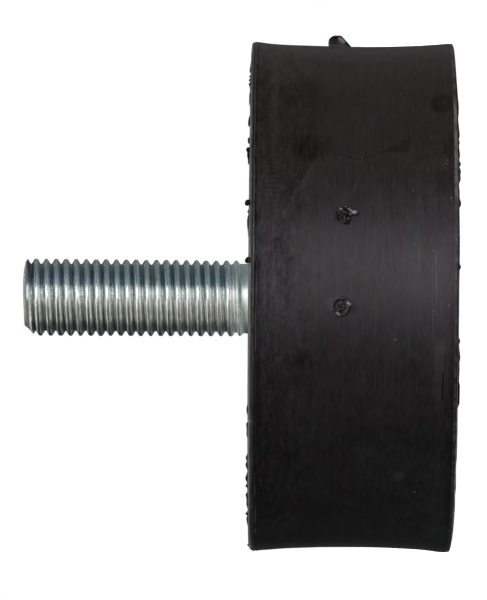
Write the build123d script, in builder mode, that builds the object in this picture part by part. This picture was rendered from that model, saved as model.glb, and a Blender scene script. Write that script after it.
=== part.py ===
from build123d import *
import math
import os

# Male/female bobbin vibration mount: rubber barrel bonded between two steel
# end plates, one threaded stud, one blind tapped bush.
# Frame: origin at the centre of the tapped end's flat face, +Z along the stud.
# All sizes in millimetres.

# ---- driving dimensions ----
body_height = 40.0  # outer face to outer face
rim_r = 50.7  # rubber radius at both rims
waist_r = 49.85  # rubber radius half way up
rim_land = 1.3  # height of the rim band next to each outer face
rim_taper = 0.4  # how far the stud end's rim band closes in towards the face
base_rim_round = 0.8  # rounding of the tapped end's rim

plate_r = 48.8  # both end plates
plate_t = 3.0
run_out_relief = 1.2  # 45 degree countersink round the stud in its plate

stud_r = 7.9  # M16 external thread, over the crests
stud_neck_r = 7.0  # plain part through the plate
stud_neck_out = 1.5  # plain length that shows outside the plate
stud_length = 45.2  # outer face to tip, nominal 45
stud_chamfer = 1.3
stud_head_r = 15.0
stud_head_t = 4.0

hole_r = 7.0  # M16 internal thread, over its crests
hole_depth = 14.0  # full thread
hole_mouth = 1.2  # 45 degree countersink at the mouth
drill_half_angle = 59.0
insert_spigot_r = 11.0
insert_r = 14.0
insert_height = 20.0

# moulding nubs: angle round the barrel from -Y towards +X, height, base size
# (round the barrel, along the axis), top size, top offset along the axis,
# outer radius of the tip
nub_specs = (
    (90.0, 22.15, (4.0, 4.4), (2.6, 2.2), 0.65, 52.05),
    (18.4, 21.5, (3.4, 3.4), (2.6, 2.6), 0.0, 51.05),
)
vent_angle, vent_z = -2.0, 22.4  # round torn vent mark
vent_r, vent_tip_r, vent_dimple_r = 2.0, 50.65, 1.15
vent_dimple_depth = 0.5

os.makedirs("parts", exist_ok=True)

stud_tip_z = body_height + stud_length
top_plate_z = body_height - plate_t
head_z = top_plate_z - stud_head_t
drill_tip = hole_r / math.tan(math.radians(drill_half_angle))


def barrel_plane(angle, radius, height):
    """Plane facing straight out of the barrel, local Y along the axis."""
    a = math.radians(angle)
    out = Vector(math.sin(a), -math.cos(a), 0)
    side = Vector(math.cos(a), math.sin(a), 0)
    return Plane(origin=out * radius + Vector(0, 0, height), x_dir=side, z_dir=out)


# ---- stud end plate: a flat disc with the stud's hole, its outer mouth
# countersunk so that a flat face can seat past the thread ----
with BuildPart() as stud_plate:
    with BuildSketch(Plane.XY.offset(top_plate_z)):
        Circle(plate_r)
        Circle(stud_neck_r, mode=Mode.SUBTRACT)
    extrude(amount=plate_t)
    chamfer(
        stud_plate.edges()
        .filter_by(GeomType.CIRCLE)
        .filter_by(
            lambda e: abs(e.radius - stud_neck_r) < 0.01
            and abs(e.center().Z - body_height) < 0.01
        ),
        run_out_relief,
    )

# ---- stud: flat round head behind the plate, plain neck, M16 shank ----
with BuildPart() as threaded_stud:
    with BuildSketch(Plane.XZ):
        with BuildLine():
            Polyline(
                (0, head_z),
                (stud_head_r, head_z),
                (stud_head_r, top_plate_z),
                (stud_neck_r, top_plate_z),
                (stud_neck_r, body_height + stud_neck_out),
                (stud_r, body_height + stud_neck_out + (stud_r - stud_neck_r)),
                (stud_r, stud_tip_z - stud_chamfer),
                (stud_r - stud_chamfer, stud_tip_z),
                (0, stud_tip_z),
                close=True,
            )
        make_face()
    revolve(axis=Axis.Z)

# ---- base plate: a flat disc, holed for the tapped insert's spigot ----
with BuildPart() as base_plate:
    with BuildSketch(Plane.XY):
        Circle(plate_r)
        Circle(insert_spigot_r, mode=Mode.SUBTRACT)
    extrude(amount=plate_t)

# ---- tapped insert: turned bush, spigot through the plate, blind hole ----
with BuildPart() as tapped_insert:
    with BuildSketch(Plane.XZ):
        with BuildLine():
            Polyline(
                (hole_r + hole_mouth, 0),
                (insert_spigot_r, 0),
                (insert_spigot_r, plate_t),
                (insert_r, plate_t),
                (insert_r, insert_height),
                (0, insert_height),
                (0, hole_depth + drill_tip),
                (hole_r, hole_depth),
                (hole_r, hole_mouth),
                close=True,
            )
        make_face()
    revolve(axis=Axis.Z)

# ---- rubber body: one moulding round all four steel pieces ----
with BuildPart() as rubber_body:
    # outer form: hollow-sided barrel with a rim band at each end
    with BuildSketch(Plane.XZ):
        with BuildLine():
            Line((0, 0), (rim_r, 0))
            Line((rim_r, 0), (rim_r, rim_land))
            ThreePointArc(
                (rim_r, rim_land),
                (waist_r, body_height / 2),
                (rim_r, body_height - rim_land),
            )
            Line(
                (rim_r, body_height - rim_land),
                (rim_r - rim_taper, body_height),
            )
            Line((rim_r - rim_taper, body_height), (0, body_height))
            Line((0, body_height), (0, 0))
        make_face()
    revolve(axis=Axis.Z)
    fillet(
        rubber_body.edges()
        .filter_by(GeomType.CIRCLE)
        .filter_by(lambda e: abs(e.center().Z) < 0.01 and abs(e.radius - rim_r) < 0.01),
        base_rim_round,
    )
    # torn moulding nubs
    for angle, z, base_size, top_size, shift, tip_r in nub_specs:
        root_r = waist_r - 0.8
        with BuildSketch(barrel_plane(angle, root_r, z)):
            RectangleRounded(base_size[0], base_size[1], 0.9)
        with BuildSketch(barrel_plane(angle, tip_r, z + shift)):
            RectangleRounded(top_size[0], top_size[1], 0.6)
        loft()
    # round vent mark with a torn hollow in its middle
    with BuildSketch(barrel_plane(vent_angle, waist_r - 0.8, vent_z)):
        Circle(vent_r)
    extrude(amount=vent_tip_r - waist_r + 0.8, taper=12)
    with BuildSketch(barrel_plane(vent_angle, vent_tip_r, vent_z)):
        Circle(vent_dimple_r)
    extrude(amount=-vent_dimple_depth, taper=30, mode=Mode.SUBTRACT)
    # pockets that the steel pieces fill
    with BuildSketch(Plane.XZ):
        with BuildLine():
            Polyline(
                (0, body_height + 1),
                (0, head_z),
                (stud_head_r, head_z),
                (stud_head_r, top_plate_z),
                (plate_r, top_plate_z),
                (plate_r, body_height + 1),
                close=True,
            )
        make_face()
        with BuildLine():
            Polyline(
                (0, -1),
                (plate_r, -1),
                (plate_r, plate_t),
                (insert_r, plate_t),
                (insert_r, insert_height),
                (0, insert_height),
                close=True,
            )
        make_face()
    revolve(axis=Axis.Z, mode=Mode.SUBTRACT)

rubber_body.part.label = "rubber_body"
stud_plate.part.label = "stud_plate"
threaded_stud.part.label = "threaded_stud"
base_plate.part.label = "base_plate"
tapped_insert.part.label = "tapped_insert"

export_step(rubber_body.part, "parts/rubber_body.step")
export_step(stud_plate.part, "parts/stud_plate.step")
export_step(threaded_stud.part, "parts/threaded_stud.step")
export_step(base_plate.part, "parts/base_plate.step")
export_step(tapped_insert.part, "parts/tapped_insert.step")
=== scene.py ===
"""Looks of the bobbin vibration mount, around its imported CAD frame.

The mount stands on its tapped end: base at z = 0, stud pointing up (+Z).
The camera looks along +Y and is rolled a quarter turn, so that the stud points left.
Angles round the barrel are measured from -Y (towards the camera) towards +X (up in the picture).
"""

import math

import bpy
import numpy as np
from mathutils import Matrix, Vector


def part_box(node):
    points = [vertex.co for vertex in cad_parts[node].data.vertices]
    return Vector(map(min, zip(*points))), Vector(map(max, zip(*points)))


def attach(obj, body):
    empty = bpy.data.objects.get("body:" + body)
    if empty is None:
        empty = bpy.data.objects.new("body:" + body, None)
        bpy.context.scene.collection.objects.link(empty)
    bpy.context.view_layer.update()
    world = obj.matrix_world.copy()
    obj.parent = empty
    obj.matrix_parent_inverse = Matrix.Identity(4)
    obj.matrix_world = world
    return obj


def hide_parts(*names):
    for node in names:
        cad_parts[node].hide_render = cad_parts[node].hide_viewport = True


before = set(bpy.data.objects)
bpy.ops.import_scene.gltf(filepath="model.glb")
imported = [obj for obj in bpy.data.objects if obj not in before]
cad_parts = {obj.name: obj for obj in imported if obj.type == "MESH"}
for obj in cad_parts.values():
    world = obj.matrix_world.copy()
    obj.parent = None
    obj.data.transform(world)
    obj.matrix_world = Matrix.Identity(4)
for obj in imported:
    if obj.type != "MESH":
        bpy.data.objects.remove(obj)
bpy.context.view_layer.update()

scene = bpy.context.scene
coll = scene.collection
TAU = 2 * math.pi


# ------------------------------------------------------------------ camera

def make_camera():
    data = bpy.data.cameras.new("camera")
    data.sensor_width = 36.0
    data.lens = 300.4
    data.clip_start, data.clip_end = 0.05, 30.0
    cam = bpy.data.objects.new("camera", data)
    coll.objects.link(cam)
    eye = Vector((0.0, -1.0, 0.0315))
    aim = Vector((-0.00071, 0.0, 0.0414))
    look = (aim - eye).normalized()
    # up in the picture is +X, turned a little because the mount hangs 0.38 degrees clockwise in it
    up = Vector((1.0, 0.0, 0.0))
    right = look.cross(up).normalized()
    up = right.cross(look).normalized()
    roll = math.radians(0.38)
    r2 = right * math.cos(roll) + up * math.sin(roll)
    u2 = up * math.cos(roll) - right * math.sin(roll)
    m = Matrix((r2, u2, -look)).transposed().to_4x4()
    m.translation = eye
    cam.matrix_world = m
    scene.camera = cam
    return cam


camera = make_camera()


# ------------------------------------------------------------------ mesh tools

def new_object(name, verts, faces):
    """verts in mm, faces as lists of indices; turned so that the volume is positive."""
    v = np.asarray(verts, float) * 0.001
    me = bpy.data.meshes.new(name)
    loops = np.concatenate([np.asarray(f, np.int32) for f in faces])
    sizes = np.array([len(f) for f in faces], np.int32)
    starts = np.concatenate([[0], np.cumsum(sizes)[:-1]]).astype(np.int32)
    # signed volume by fans
    first = loops[starts]
    vol = 0.0
    for k in range(1, int(sizes.max()) - 1):
        ok = sizes > k + 1
        a, b, c = v[first[ok]], v[loops[starts[ok] + k]], v[loops[starts[ok] + k + 1]]
        vol += float(np.einsum("ij,ij->i", a, np.cross(b, c)).sum())
    if vol < 0:
        loops = np.concatenate([np.asarray(f[::-1], np.int32) for f in faces])
    me.vertices.add(len(v))
    me.vertices.foreach_set("co", v.astype(np.float32).ravel())
    me.loops.add(len(loops))
    me.loops.foreach_set("vertex_index", loops)
    me.polygons.add(len(sizes))
    me.polygons.foreach_set("loop_start", starts)
    me.update(calc_edges=True)
    me.validate()
    ob = bpy.data.objects.new(name, me)
    coll.objects.link(ob)
    return ob


def ring_solid(name, radius, height, first_pole=True, last_pole=True):
    """A closed body of rings: radius and height are (rows, n) arrays in mm, starting and ending on the axis."""
    rows, n = radius.shape
    th = np.arange(n) / n * TAU
    s, c = np.sin(th), -np.cos(th)
    verts = [(0.0, 0.0, float(height[0, 0]))]
    body = np.stack([radius * s, radius * c, height], axis=2)[1:-1].reshape(-1, 3)
    verts = np.concatenate([verts, body, [(0.0, 0.0, float(height[-1, 0]))]])
    faces = []
    last = len(verts) - 1
    inner = rows - 2
    idx = 1 + np.arange(inner * n).reshape(inner, n)
    nxt = np.roll(idx, -1, axis=1)
    for i in range(n):
        faces.append([0, int(nxt[0, i]), int(idx[0, i])])
    quads = np.stack([idx[:-1], nxt[:-1], nxt[1:], idx[1:]], axis=2).reshape(-1, 4)
    faces.extend(quads.tolist())
    for i in range(n):
        faces.append([last, int(idx[-1, i]), int(nxt[-1, i])])
    return new_object(name, verts, faces)


def boolean(target, other, operation):
    """Applies a boolean to target's mesh and removes the other object."""
    before = len(target.data.vertices)
    for solver in ("MANIFOLD", "EXACT"):
        mod = target.modifiers.new("cut", "BOOLEAN")
        mod.operation = operation
        mod.object = other
        mod.solver = solver
        dg = bpy.context.evaluated_depsgraph_get()
        dg.update()
        me = bpy.data.meshes.new_from_object(target.evaluated_get(dg))
        target.modifiers.remove(mod)
        if len(me.polygons) > 3 and (len(me.vertices) != before or solver == "EXACT"):
            old = target.data
            me.name = old.name
            target.data = me
            bpy.data.meshes.remove(old)
            break
        bpy.data.meshes.remove(me)
    old = other.data
    bpy.data.objects.remove(other)
    bpy.data.meshes.remove(old)
    return target


def smooth(ob, angle=40.0):
    me = ob.data
    me.polygons.foreach_set("use_smooth", np.ones(len(me.polygons), bool))
    me.set_sharp_from_angle(angle=math.radians(angle))
    me.update()


def ring_noise(n, knots, seed, power=1.0):
    """Smooth seeded noise of about -1..1 round a ring of n points."""
    rng = np.random.default_rng(seed)
    k = rng.uniform(-1, 1, knots)
    x = np.arange(n) / n * knots
    i = np.floor(x).astype(int)
    f = x - i
    f = f * f * (3 - 2 * f)
    v = k[i % knots] * (1 - f) + k[(i + 1) % knots] * f
    return np.sign(v) * np.abs(v) ** power


def hashed(shape, seed):
    return np.random.default_rng(seed).uniform(-1, 1, shape)


def piecewise(deg, table):
    """Linear interpolation in a table of (angle, value) pairs, sorted by angle here."""
    t = sorted(table)
    return np.interp(deg, [a for a, _ in t], [b for _, b in t])


# ------------------------------------------------------------------ rubber body

N = 1200
theta = np.arange(N) / N * 360.0
deg = np.where(theta > 180, theta - 360, theta)

# Mean radius of the moulding along its axis: a shallow waist and flared ends.
BARREL = [(38.2, 50.64), (37.3, 50.53), (36.1, 50.43), (34.4, 50.29), (32.5, 50.18),
          (30.7, 50.10), (28.9, 50.04), (26.1, 49.95), (23.5, 49.90), (21.0, 49.87),
          (18.7, 49.86), (16.4, 49.87), (14.0, 49.91), (12.2, 49.96), (10.8, 50.01),
          (9.4, 50.07), (8.0, 50.13), (6.6, 50.20), (5.4, 50.29), (4.3, 50.38),
          (3.4, 50.47), (2.6, 50.56), (2.1, 50.61)]

# Height of the torn moulding flash above the stud end, by angle (degrees, mm), on the side that was seen.
STUD_FLASH = [(90, 0.05), (73.7, -0.14), (67.4, 0.0), (63.8, 0.20), (61.7, 0.32), (60.6, 0.10),
              (59.6, 0.05), (59.1, 0.38), (58.3, 0.06), (57.3, 0.40), (56.5, 0.08), (55.7, 0.42),
              (54.8, 0.22), (53.3, 0.12), (51.4, 0.24), (48.2, 0.20), (46.8, 0.02), (44.8, 0.0),
              (43.6, 0.22), (42.3, 0.36), (41.1, 0.36), (40.6, -0.10), (37.9, -0.14), (37.4, 0.36),
              (36.1, 0.36), (35.7, -0.12), (35.0, -0.10), (34.75, 0.72), (34.2, 0.66), (33.5, 0.44),
              (32.4, 0.50), (31.7, 0.30), (30.8, 0.30), (30.1, 0.05), (23.9, 0.0), (22.5, -0.08),
              (20.2, 0.0), (19.4, 0.03), (19.0, 0.34), (18.4, 0.08), (17.6, 0.26), (16.7, 0.34),
              (15.4, 0.32), (14.5, 0.16), (13.3, 0.14), (12.5, -0.08), (9.1, -0.20), (-0.6, -0.15),
              (-9.5, -0.03), (-16.7, -0.03), (-17.4, 0.08), (-22.9, 0.08), (-24.4, 0.10), (-25.3, 0.28),
              (-26.6, 0.17), (-27.6, -0.16), (-28.1, -0.26), (-28.6, -0.10), (-29.1, 0.26), (-31.9, 0.24),
              (-33.2, 0.08), (-37.0, 0.08), (-38.4, 0.42), (-39.3, 0.22), (-40.5, 0.42), (-42.3, 0.06),
              (-44.5, 0.50), (-46.3, 0.14), (-47.1, 0.42), (-47.8, 0.10), (-49.1, 0.10), (-50.2, 0.44),
              (-52.0, 0.22), (-54.0, 0.30), (-56.5, -0.03), (-57.6, 0.50), (-58.6, 0.16), (-60.6, 0.34),
              (-64.9, 0.0), (-68.0, -0.14), (-75.5, -0.34), (-90, -0.42)]
# The same for the base end, as depth below the base plane.
BASE_FLASH = [(90, 0.05), (72.2, -0.05), (61.9, -0.03), (54.6, 0.07), (50.8, 0.13), (47.9, 0.24),
              (45.9, 0.20), (43.7, 0.05), (40.6, 0.18), (38.6, 0.28), (37.6, 0.10), (36.6, 0.24),
              (35.6, 0.10), (33.3, 0.26), (31.6, 0.12), (30.8, 0.44), (30.0, 0.14), (28.9, 0.42),
              (28.0, 0.28), (27.0, 0.34), (25.7, 0.0), (23.8, 0.12), (22.3, 0.10), (21.5, 0.38),
              (20.6, 0.36), (20.2, 0.06), (13.0, 0.12), (7.3, 0.09), (6.8, 0.38), (6.1, 0.08),
              (0.5, 0.0), (-8.6, 0.04), (-9.4, 0.30), (-10.4, 0.08), (-13.2, 0.34), (-14.1, 0.22),
              (-16.1, 0.24), (-18.6, 0.16), (-19.6, 0.36), (-23.8, 0.34), (-25.0, 0.03), (-30.2, 0.10),
              (-38.0, 0.12), (-40.4, 0.03), (-47.6, 0.17), (-49.7, 0.07), (-53.5, 0.16), (-59.5, 0.15),
              (-67.1, 0.10), (-73.2, 0.06), (-77.6, -0.12), (-83.3, -0.32), (-90, -0.36)]


def torn(seed, depth):
    """Flash heights for the side that was not seen: runs of low lip, teeth and tabs."""
    rng = np.random.default_rng(seed)
    out, a = [], 92.0
    while a < 266.0:
        kind = rng.random()
        if kind < 0.45:
            w = rng.uniform(1.5, 7.0)
            h = rng.uniform(-0.12, 0.10) * depth
            out += [(a, h), (a + w, h + rng.uniform(-0.06, 0.06))]
        elif kind < 0.8:
            w = rng.uniform(0.7, 2.6)
            h = rng.uniform(0.15, 0.42) * depth
            out += [(a, 0.02), (a + 0.35, h), (a + w, h * rng.uniform(0.6, 1.0)), (a + w + 0.4, 0.0)]
            w += 0.4
        else:
            w = 0.0
            for _ in range(rng.integers(2, 5)):
                out += [(a + w, 0.04), (a + w + 0.4, rng.uniform(0.25, 0.5) * depth), (a + w + 0.9, 0.05)]
                w += rng.uniform(1.1, 1.7)
        a += w + 0.25
    return [(x - 360 if x > 180 else x, h) for x, h in out if x < 269.0]


def make_rubber():
    h_top = piecewise(deg, STUD_FLASH + torn(11, 1.0))
    h_low = piecewise(deg, BASE_FLASH + torn(12, 0.9))
    fine = ring_noise(N, 520, 3) * 0.02 + ring_noise(N, 260, 4) * 0.03
    h_top = h_top + fine * np.clip(h_top * 4, 0, 1)
    h_low = np.clip(h_low + ring_noise(N, 480, 5) * 0.02 * np.clip(h_low * 4, 0, 1), -0.5, 0.44)
    up = np.clip(h_top, 0, None)
    dn = np.clip(h_low, 0, None)
    sin = np.sin(np.radians(deg))
    # the stud-end corner is worn back towards the top and the bottom of the picture
    low = np.clip(-h_top, 0, None)
    film = 47.9 + 0.42 * ring_noise(N, 46, 6) + 0.16 * ring_noise(N, 170, 7) + 0.05 * ring_noise(N, 520, 8)
    film_low = 47.6 + 0.5 * ring_noise(N, 38, 16) + 0.16 * ring_noise(N, 150, 17) + 0.05 * ring_noise(N, 500, 18)
    wob = ring_noise(N, 200, 9) * 0.5 + ring_noise(N, 420, 10) * 0.5

    groove = 0.10 + 0.05 * ring_noise(N, 90, 21) + 0.09 * np.clip(ring_noise(N, 300, 22), 0, 1) ** 2 \
        + 0.05 * ring_noise(N, 500, 23)
    groove = np.clip(groove, 0.01, 0.26)
    # the groove is weak where the rim was left as one flat band
    flat = np.clip((np.minimum(-8 - deg, deg + 44)) / 4.0, 0, 1) * (deg < 0)
    groove = groove * (1 - 0.75 * flat)
    groove *= 1 - 0.5 * np.clip((deg - 40) / 15, 0, 1)
    zg = 38.72 + 0.10 * ring_noise(N, 60, 24) + 0.05 * ring_noise(N, 260, 25)

    one = np.ones(N)
    rows = []

    def row(r, z):
        rows.append((r * one, z * one))

    row(0, 33.0)
    row(15.0, 33.0)
    row(15.0, 37.0)
    row(48.8, 37.0)
    row(48.8, 40.0)
    row(film, 40.0)
    row(film + 0.05, 40.035)
    row(film + 0.22, 40.07)
    row(film * 0.5 + 24.5, 40.085 + 0.012 * ring_noise(N, 300, 26))
    row(49.35, 40.075 - 0.9 * np.clip(low - 0.12, 0, 1) * 0.0)
    foot = 40.04 - low
    row(49.66, np.minimum(foot, 40.04))
    # the fin leans out and back by turns
    lean = 0.10 * ring_noise(N, 150, 27)
    row(49.90 + lean * up * 2 - 0.02, 40.02 + h_top)
    row(49.98 + lean * up * 2 + 0.01 * wob, 40.0 + h_top - 0.015)
    row(50.18, np.minimum(39.98 - low, 39.98 + 0.1 * h_top))
    row(50.42, 39.93 - 0.95 * low)
    row(50.60 + 0.015 * wob, 39.80 - 0.8 * low)
    row(50.70 + 0.015 * wob, 39.56 - 0.55 * low)
    row(50.755, 39.28 - 0.25 * low)
    row(50.79, zg + 0.30)
    row(50.78 - 0.3 * groove, zg + 0.17)
    row(50.76 - groove, zg + 0.03)
    row(50.75 - 0.35 * groove, zg - 0.10)
    row(50.76, zg - 0.22)
    row(50.735, zg - 0.36)

    for z, r in BARREL:
        row(r + 0.05, z)

    # the base end: a rounded edge, then flash that hangs a little below the base plane
    row(50.70, 1.62)
    row(50.72, 1.30)
    row(50.72, 1.02 + 0.05 * wob)
    zb = 0.76 + 0.06 * ring_noise(N, 80, 31)
    row(50.71 - 0.02 * np.clip(wob, 0, 1), zb)
    row(50.70, zb - 0.22)
    row(50.67, 0.32 - 0.04 * wob)
    row(50.57, 0.15 + 0.02 * wob)
    row(50.37, 0.05)
    low_b = np.clip(-h_low, 0, None)
    row(50.08, 0.03 + low_b)
    lean = 0.10 * ring_noise(N, 150, 32)
    row(49.96 + lean * dn * 2, -h_low + 0.01)
    row(49.88 + lean * dn * 2, -h_low - 0.01)
    row(49.62, -0.03 + low_b)
    row(49.3, -0.06)
    row(film_low * 0.5 + 24.5, -0.07)
    row(film_low + 0.2, -0.06)
    row(film_low + 0.05, -0.03)
    row(film_low, 0.0)
    row(48.8, 0.0)
    row(48.8, 3.0)
    row(14.0, 3.0)
    row(14.0, 20.0)
    row(0, 20.0)

    R = np.array([r for r, _ in rows])
    Z = np.array([z for _, z in rows])

    # slow waves of the moulded skin, only on the outside
    outer = (R > 50.2) & (Z > 1.0) & (Z < 38.6)
    wave = np.zeros_like(R)
    rng = np.random.default_rng(41)
    for _ in range(26):
        k = rng.integers(3, 26)
        kz = rng.uniform(0.02, 0.32)
        a = 0.012 / (1 + 0.05 * k)
        wave += a * np.cos(np.radians(deg)[None, :] * k + rng.uniform(0, TAU)) * np.cos(Z * kz + rng.uniform(0, TAU))
    fade = np.clip((Z - 1.0) / 3, 0, 1) * np.clip((38.6 - Z) / 3, 0, 1)
    R = R + np.where(outer, wave * fade, 0.0)
    # a small unroundness seen in the outline
    bend = np.interp(Z, [0, 1.4, 2.6, 5, 9, 19, 26, 31, 36, 38.5, 40.5],
                     [0.0, -0.06, -0.08, 0.0, 0.01, 0.03, 0.06, 0.03, -0.02, 0.03, 0.0])
    R = R + np.where(R > 49.5, bend * sin[None, :], 0.0)
    return ring_solid("rubber_body_moulded", R, Z)


def blob(name, centre, size, seed, rough=0.12, cuts=3, squash=(1, 1, 1), basis=None):
    """A small torn lump of rubber: an icosphere pushed about by seeded noise, in mm."""
    import bmesh
    bm = bmesh.new()
    bmesh.ops.create_icosphere(bm, subdivisions=cuts, radius=1.0)
    rng = np.random.default_rng(seed)
    waves = [(rng.normal(size=3) * f, rng.uniform(0, TAU), a)
             for f, a in ((1.6, 1.0), (1.6, 1.0), (3.2, 0.6), (3.2, 0.6), (6.0, 0.35), (6.0, 0.35), (9.0, 0.25))]
    b = basis or Matrix.Identity(3)
    for v in bm.verts:
        d = 1.0 + rough * sum(a * math.cos(float(np.dot(w, v.co)) + p) for w, p, a in waves) / 1.6
        q = Vector((v.co.x * squash[0], v.co.y * squash[1], v.co.z * squash[2])) * d * size
        v.co = b @ q + Vector(centre)
    me = bpy.data.meshes.new(name)
    for v in bm.verts:
        v.co *= 0.001
    bm.to_mesh(me)
    bm.free()
    ob = bpy.data.objects.new(name, me)
    coll.objects.link(ob)
    return ob


def place(angle, radius, z):
    a = math.radians(angle)
    return Vector((radius * math.sin(a), -radius * math.cos(a), z))


def local_basis(angle):
    """Columns: along the hoop (up in the picture when facing the camera), out, and +Z."""
    a = math.radians(angle)
    out = Vector((math.sin(a), -math.cos(a), 0))
    hoop = Vector((math.cos(a), math.sin(a), 0))
    return Matrix((hoop, out, Vector((0, 0, 1)))).transposed()


def stub(name, angle, z, sections, seed, rough=0.05, n=40):
    """A nub that stands on the barrel. sections: (radius from the axis, hoop half-size, z half-size, z shift, hoop shift,
    squareness), from inside the barrel to the tip. The tip closes over a torn, uneven face."""
    b = local_basis(angle)
    rng = np.random.default_rng(seed)
    verts, faces = [], []
    t = np.arange(n) / n * TAU
    ca, sa = np.cos(t), np.sin(t)
    prof = ring_noise(n, 9, seed) * rough + ring_noise(n, 17, seed + 1) * rough * 0.7
    for k, (rad, hh, hz, dz, dh, sq) in enumerate(sections):
        p = 2.0 / sq
        u = np.sign(ca) * np.abs(ca) ** p * hh
        w = np.sign(sa) * np.abs(sa) ** p * hz
        wob = 1 + prof * (0.6 + 0.4 * k / len(sections)) + rng.uniform(-1, 1, n) * rough * 0.25
        for i in range(n):
            q = b @ Vector((u[i] * wob[i] + dh, 0, w[i] * wob[i] + dz))
            jit = rng.uniform(-1, 1) * rough * 0.5 if k > 1 else 0.0
            a = math.radians(angle)
            verts.append(q + Vector((math.sin(a), -math.cos(a), 0)) * (rad + jit) + Vector((0, 0, z)))
    m = len(sections)
    for k in range(m - 1):
        for i in range(n):
            j = (i + 1) % n
            faces.append([k * n + i, k * n + j, (k + 1) * n + j, (k + 1) * n + i])
    a = math.radians(angle)
    for k, flip in ((0, True), (m - 1, False)):
        rad, _, _, dz, dh, _ = sections[k]
        verts.append(b @ Vector((dh, 0, dz)) + Vector((math.sin(a), -math.cos(a), 0)) * rad + Vector((0, 0, z)))
        c = len(verts) - 1
        for i in range(n):
            j = (i + 1) % n
            faces.append([c, k * n + j, k * n + i] if flip else [c, k * n + i, k * n + j])
    return new_object(name, [tuple(v) for v in verts], faces)


rubber = make_rubber()

# The nub on the upper outline: steep on the stud side, sloping on the base side.
boolean(rubber, stub("nub_a", 90.0, 22.48, [
    (49.2, 2.05, 2.30, -0.05, 0.0, 3.2), (49.95, 2.00, 2.24, -0.01, 0.0, 3.2), (50.3, 1.94, 2.10, 0.15, 0.0, 3.4),
    (50.62, 1.88, 1.95, 0.30, 0.03, 3.4), (50.95, 1.80, 1.80, 0.45, -0.02, 3.6), (51.2, 1.76, 1.67, 0.53, 0.03, 3.6),
    (51.4, 1.70, 1.55, 0.60, -0.02, 3.4), (51.65, 1.58, 1.35, 0.63, 0.02, 3.2), (51.9, 1.40, 1.13, 0.62, 0.0, 2.8),
    (52.09, 1.12, 0.90, 0.55, 0.0, 2.6), (52.19, 0.70, 0.60, 0.48, 0.0, 2.4), (52.16, 0.30, 0.28, 0.45, 0.0, 2.2)],
    61, rough=0.055, n=72), "UNION")


def creases(u, w, seed, count=9):
    """Folded, torn relief of about -1..1 at a point of a scar, u and w in mm."""
    rng = np.random.default_rng(seed)
    total, weight = 0.0, 0.0
    for _ in range(count):
        a, wave, ph = rng.uniform(0, TAU), rng.uniform(0.8, 2.6), rng.uniform(0, TAU)
        amp = wave ** 0.6
        bend = 0.5 * math.sin(1.7 * u + ph) + 0.5 * math.cos(1.3 * w + 2 * ph)
        t = (u * math.cos(a) + w * math.sin(a)) / wave * math.pi + ph + 0.8 * bend
        total += amp * (1 - 2 * abs(math.sin(t)))
        weight += amp
    return total / weight * 2.2


def scar(name, angle, z, hh, hz, height, seed, amp, n=72, rings=20, square=4.0, tilt=(0.0, 0.0), dish=0.0):
    """A torn stump low on the barrel: an uneven outline, short walls and a crumpled top."""
    b = local_basis(angle)
    a = math.radians(angle)
    out = Vector((math.sin(a), -math.cos(a), 0))
    e1, e2, e3 = ring_noise(n, 8, seed), ring_noise(n, 15, seed + 1), ring_noise(n, 30, seed + 2)
    verts, faces = [], []
    levels = [(1.0, 49.2), (1.0, 49.75)] + [(math.cos(0.5 * math.pi * k / rings) ** 0.75, None) for k in range(rings)]
    for s, fixed in levels:
        for i in range(n):
            t = i / n * TAU
            c, d = math.cos(t), math.sin(t)
            sq = (abs(c) ** square + abs(d) ** square) ** (-1.0 / square)
            rim = 1 + 0.07 * e1[i] + 0.05 * e2[i] + 0.03 * e3[i]
            u, w = s * sq * c * hh * rim, s * sq * d * hz * rim
            if fixed:
                r = fixed
            else:
                body = (1 - s ** 7) ** 0.8
                fold = creases(u, w, seed + 5) * amp
                r = 49.9 - 0.15 * (1 - body) + body * (height + fold + tilt[0] * u / hh + tilt[1] * w / hz - dish * (1 - s * s))
            verts.append(b @ Vector((u, 0, w)) + out * r + Vector((0, 0, z)))
    m = len(levels)
    for k in range(m - 1):
        for i in range(n):
            j = (i + 1) % n
            faces.append([k * n + i, k * n + j, (k + 1) * n + j, (k + 1) * n + i])
    verts.append(out * 49.2 + Vector((0, 0, z)))
    for i in range(n):
        faces.append([len(verts) - 1, (i + 1) % n, i])
    r = 49.9 + height + creases(0, 0, seed + 5) * amp - dish
    verts.append(out * r + Vector((0, 0, z)))
    for i in range(n):
        faces.append([len(verts) - 1, (m - 1) * n + i, (m - 1) * n + (i + 1) % n])
    return new_object(name, [tuple(v) for v in verts], faces)


# The torn stump above the middle, with a flap hanging off its base side.
boolean(rubber, scar("nub_b", 18.0, 22.15, 1.66, 1.60, 0.55, 62, 0.30, tilt=(0.06, -0.12)), "UNION")
for k, (angle, r, z, size) in enumerate((
        (18.65, 50.52, 20.00, (0.36, 0.22, 0.70)), (19.45, 50.50, 22.50, (0.26, 0.18, 0.46)),
        (20.00, 50.42, 21.60, (0.26, 0.20, 0.30)), (19.40, 50.58, 21.05, (0.26, 0.20, 0.36)),
        (18.90, 50.60, 20.60, (0.36, 0.22, 0.26)), (18.10, 50.56, 20.70, (0.20, 0.18, 0.34)),
        (17.25, 50.46, 21.05, (0.30, 0.16, 0.46)), (17.90, 50.40, 23.45, (0.75, 0.14, 0.14)))):
    boolean(rubber, blob("lip_b%d" % k, place(angle, r, z), 1.0, 63 + k, 0.24, 3, size, local_basis(angle)), "UNION")

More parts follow.
